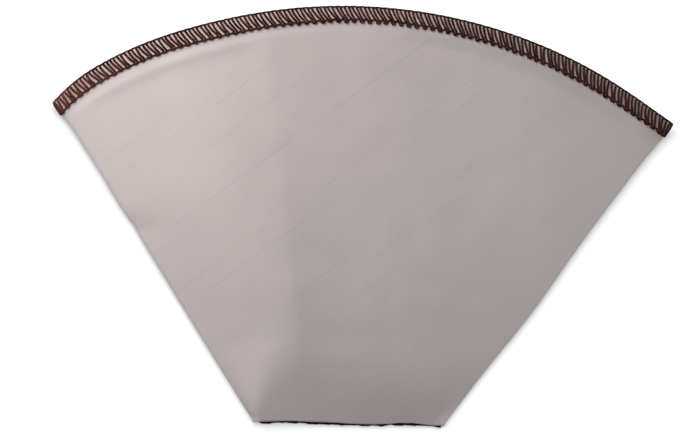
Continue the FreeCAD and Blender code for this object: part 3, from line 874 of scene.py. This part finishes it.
def new_material(name, group, bump_distance, bump_strength, sheen, gloss):
    """Add a material whose Principled shader reads a group; return its tree and the group's inputs."""
    material = bpy.data.materials.new(name)
    material.use_nodes = True
    tree = material.node_tree
    shader = tree.nodes["Principled BSDF"]
    set_inputs(shader.inputs, {"Sheen Weight": sheen, "Sheen Roughness": 0.5, "Specular IOR Level": gloss})
    made = new_node(tree, "ShaderNodeGroup", node_tree=bpy.data.node_groups[group])
    bump = new_node(tree, "ShaderNodeBump")
    set_inputs(bump.inputs, {"Strength": bump_strength, "Distance": bump_distance})
    tree.links.new(made.outputs["Colour"], shader.inputs["Base Color"])
    tree.links.new(made.outputs["Roughness"], shader.inputs["Roughness"])
    tree.links.new(made.outputs["Height"], bump.inputs["Height"])
    tree.links.new(bump.outputs["Normal"], shader.inputs["Normal"])
    return material, tree, made.inputs


def cloth_material(cloth):
    """Return the greige woven cloth, made once."""
    if "Filter weave" in bpy.data.materials:
        return bpy.data.materials["Filter weave"]
    plain_weave_group()
    material, tree, weave = new_material("Filter weave", "Plain weave", 0.00006, 0.35, 0.12, 0.25)
    tree.links.new(new_node(tree, "ShaderNodeUVMap", uv_map="Blank").outputs["UV"], weave["Blank"])
    set_inputs(weave, {
        "Yarn pitch": 0.00036, "Slubs": 0.3, "Drawn yarns": 0.13, "Cloudiness": 0.45,
        "Colour": (*cloth.colour, 1), "Pale colour": (*cloth.pale_colour, 1)})
    shader = tree.nodes["Principled BSDF"]
    woven = shader.inputs["Base Color"].links[0].from_socket
    # Partly painted light: beyond the needle line the cloth takes the band's lighter, pinker colour
    band = rim_mask(tree, 0.1505, 0.0008)
    tinted = blend_colours(tree, band, woven, (*cloth.band_painted_light_colour, 1))
    # At the left end the band's painted light colour turns redder and darker
    leftward = axes(tree, object_place(tree))[0]
    left_end_painted_light = clamped(tree, calc(tree, "MULTIPLY_ADD", leftward, -1 / 0.008, -0.079 / 0.008))
    tinted = blend_colours(tree, calc(tree, "MULTIPLY", left_end_painted_light, band), tinted, (*cloth.left_band_painted_light_colour, 1))
    # Painted shade: the cloth's colour is darkened towards the bottom seam, most at its right
    tree.links.new(darkened(tree, tinted, seam_painted_shade(tree), 0.20), shader.inputs["Base Color"])
    return material


def thread_material(name, colour, warm_colour):
    """Return a twisted thread in its colours, made once."""
    if name in bpy.data.materials:
        return bpy.data.materials[name]
    if "Twisted thread" not in bpy.data.node_groups:
        twisted_thread_group()
    material, tree, twist = new_material(name, "Twisted thread", 0.00008, 0.6, 0.0, 0.06)
    along = new_node(tree, "ShaderNodeUVMap", uv_map="UVMap").outputs["UV"]
    tree.links.new(along, twist["Along and round"])
    tree.links.new(object_place(tree), twist["Place"])
    set_inputs(twist, {
        "Twist pitch": 0.0011, "Wear": 0.55, "Colour": (*colour, 1), "Warm colour": (*warm_colour, 1)})
    return material


def dress(piece, material, slot_name, *nodes):
    """Give a piece its material, and let it stand for its CAD nodes; the slot name is not used."""
    piece.data.materials.clear()
    piece.data.materials.append(material)
    if nodes:
        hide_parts(*nodes)


class FILTER_OT_cloth(bpy.types.Operator):
    """Add the folded cloth pocket and its two raw seam allowances"""

    bl_idname = "filter.cloth"
    bl_label = "Cloth pocket"

    def execute(self, context):
        cloth = context.scene.filter_cloth
        pocket = Pocket(cloth)
        sheet = make_cloth(cloth, pocket)
        dress(sheet, cloth_material(cloth), "cloth", "filter_cloth")
        side = make_allowance("side_seam_allowance", pocket, "side", 60)
        bottom = make_allowance("bottom_seam_allowance", pocket, "bottom", 40)
        for strip in (side, bottom):
            dress(strip, cloth_material(cloth), "cloth")
        return {"FINISHED"}


class FILTER_OT_rim_threads(bpy.types.Operator):
    """Overlock the mouth with two loopers and a needle thread"""

    bl_idname = "filter.rim_threads"
    bl_label = "Overlocked mouth"

    def execute(self, context):
        thread = context.scene.filter_stitches
        cloth = context.scene.filter_cloth
        pocket = Pocket(cloth)
        outside = thread.radius * 0.6
        inside = -cloth.thickness - thread.radius * 0.6
        paths = (
            looper_path(pocket, thread, outside, -cloth.thickness * 0.3, 0.0),
            looper_path(pocket, thread, inside, -cloth.thickness * 0.7, 0.5),
            needle_path(pocket, thread),
        )
        brown = thread_material("Overlock thread", thread.colour, thread.warm_colour)
        for name, (points, radii) in zip(RIM_THREADS, paths):
            dress(thread_piece(name + "_laid", points, thread, radii), brown, "thread", name)
        return {"FINISHED"}


class FILTER_OT_seam_threads(bpy.types.Operator):
    """Sew the bottom edge and whip the raw allowances inside"""

    bl_idname = "filter.seam_threads"
    bl_label = "Seam threads"

    def execute(self, context):
        thread = context.scene.filter_stitches
        cloth = context.scene.filter_cloth
        pocket = Pocket(cloth)
        reach = cloth.bottom_width / 2 - 0.001
        place, height = -thread.radius * 0.7, cloth.bottom_edge * 0.62
        seam = wavy_run(Vector((0.0012 - reach, place, height)), Vector((reach, place, height)), 0.0020,
                        Vector((0, 0.00010, 0)))
        swell = []
        for point in seam:
            size = 0.95 + 1.5 * ripple(point.x, 0, 0.0023, 5.5) + ripple(point.x, 0, 0.009, 2.5)
            swell.append(min(1.7, max(0.4, size)))
            point.y += pocket.bottom_rise(point.x / pocket.half_bottom)
        brown = thread_material("Overlock thread", thread.colour, thread.warm_colour)
        # Painted shade: near-black thread colours for the shade at the bottom edge
        painted_shade_black = thread_material("Seam thread", thread.painted_shade_seam_colour, thread.painted_shade_seam_fibre_colour)
        bottom_edge = whipped_edge(pocket, thread, "bottom", cloth.bottom_width)
        side_edge = whipped_edge(pocket, thread, "side", 0.100)
        paths = (
            ("bottom_seam_thread", seam, swell, painted_shade_black),
            ("bottom_allowance_thread", bottom_edge, None, brown),
            ("side_allowance_thread", side_edge, None, brown),
        )
        for name, points, radii, material in paths:
            piece = thread_piece(name + "_laid", points, thread, radii, closed=False)
            dress(piece, material, "thread", name)
        return {"FINISHED"}


class FILTER_OT_stage(bpy.types.Operator):
    """Set the pale floor, the soft light and the camera over the filter"""

    bl_idname = "filter.stage"
    bl_label = "Stage"

    def execute(self, context):
        stage = context.scene.filter_stage
        floor = bmesh.new()
        bmesh.ops.create_grid(floor, x_segments=1, y_segments=1, size=1.5)
        mesh = bpy.data.meshes.new("floor")
        floor.to_mesh(mesh)
        floor.free()
        ground = bpy.data.objects.new("floor", mesh)
        context.scene.collection.objects.link(ground)
        ground.data.materials.append(floor_material())
        add_lamp(context, "key", (-0.188, 0.3195, 0.150), 0.28, stage.key_energy)
        add_lamp(context, "side", (-0.330, 0.030, 0.120), 0.20, stage.side_energy)
        world = bpy.data.worlds.new("studio")
        world.use_nodes = True
        world.node_tree.nodes["Background"].inputs["Color"].default_value = (1, 1, 1, 1)
        world.node_tree.nodes["Background"].inputs["Strength"].default_value = stage.fill_strength
        context.scene.world = world
        camera = bpy.data.cameras.new("camera")
        camera.sensor_width = 36
        camera.lens = camera.sensor_width * (stage.camera_height - 0.006) / stage.view_width
        holder = bpy.data.objects.new("camera", camera)
        holder.location = (*stage.view_centre, stage.camera_height)
        holder.rotation_euler = (0, 0, stage.view_roll)
        context.scene.collection.objects.link(holder)
        context.scene.camera = holder
        context.scene.view_settings.view_transform = "Standard"
        return {"FINISHED"}


def add_lamp(context, name, place, width, energy):
    """Add a square soft lamp that faces the filter."""
    lamp = bpy.data.lights.new(name, "AREA")
    lamp.size = width
    lamp.energy = energy
    holder = bpy.data.objects.new(name, lamp)
    holder.location = place
    aim = Vector((0, 0.06, 0)) - Vector(place)
    holder.rotation_euler = aim.to_track_quat("-Z", "Y").to_euler()
    holder.visible_camera = False
    context.scene.collection.objects.link(holder)


def floor_material():
    """Return the pale floor: it shows white to the camera, keeps the filter's soft shadow on its matt part,
    and darkens its glow into a painted shadow by ambient occlusion near the filter, cleared beyond the rim's
    arc.
    """
    material = bpy.data.materials.new("Pale floor")
    material.use_nodes = True
    tree = material.node_tree
    tree.nodes.clear()
    rays = new_node(tree, "ShaderNodeLightPath").outputs
    seen = calc(tree, "MAXIMUM", rays["Is Camera Ray"], rays["Is Glossy Ray"])
    seen = calc(tree, "MAXIMUM", seen, rays["Is Transmission Ray"])
    # Painted shadow: the floor's glow is darkened by ambient occlusion near the filter, and cleared beyond
    # the rim's arc
    near = new_node(tree, "ShaderNodeAmbientOcclusion", None, SHADOW_REACH, samples=8)
    painted_shadow = calc(tree, "POWER", near.outputs["AO"], SHADOW_DEPTH)
    painted_shadow_cleared_past_rim = calc(tree, "MAXIMUM", painted_shadow, rim_mask(tree, 0.148, 0.008))
    glow = new_node(tree, "ShaderNodeEmission", (1, 1, 1, 1), calc(tree, "MULTIPLY", seen, painted_shadow_cleared_past_rim))
    matt = new_node(tree, "ShaderNodeBsdfDiffuse", (*[FLOOR_TONE] * 3, 1))
    both = new_node(tree, "ShaderNodeAddShader", matt.outputs[0], glow.outputs[0])
    new_node(tree, "ShaderNodeOutputMaterial", both.outputs[0])
    return material


class FILTER_PT_panel(bpy.types.Panel):
    """Lists the filter's pieces in the sidebar"""

    bl_idname = "FILTER_PT_panel"
    bl_label = "Coffee filter"
    bl_space_type = "VIEW_3D"
    bl_region_type = "UI"
    bl_category = "Filter"

    def draw(self, context):
        for settings, operators in (
            (context.scene.filter_cloth, ("filter.cloth",)),
            (context.scene.filter_stitches, ("filter.rim_threads", "filter.seam_threads")),
            (context.scene.filter_stage, ("filter.stage",)),
        ):
            box = self.layout.box()
            for key in settings.bl_rna.properties.keys():
                if key not in ("rna_type", "name"):
                    box.prop(settings, key)
            for operator in operators:
                box.operator(operator)


CLASSES = (
    FilterClothSettings,
    StitchSettings,
    FilterStageSettings,
    FILTER_OT_cloth,
    FILTER_OT_rim_threads,
    FILTER_OT_seam_threads,
    FILTER_OT_stage,
    FILTER_PT_panel,
)


def register():
    """Register the classes and hang the settings on the scene."""
    for item in CLASSES:
        bpy.utils.register_class(item)
    bpy.types.Scene.filter_cloth = bpy.props.PointerProperty(type=FilterClothSettings)
    bpy.types.Scene.filter_stitches = bpy.props.PointerProperty(type=StitchSettings)
    bpy.types.Scene.filter_stage = bpy.props.PointerProperty(type=FilterStageSettings)


def unregister():
    """Take the settings off the scene and unregister the classes."""
    del bpy.types.Scene.filter_stage
    del bpy.types.Scene.filter_stitches
    del bpy.types.Scene.filter_cloth
    for item in reversed(CLASSES):
        bpy.utils.unregister_class(item)


def main():
    """Make every piece in order."""
    register()
    bpy.ops.filter.cloth()
    bpy.ops.filter.rim_threads()
    bpy.ops.filter.seam_threads()
    bpy.ops.filter.stage()


if __name__ == "__main__":
    main()
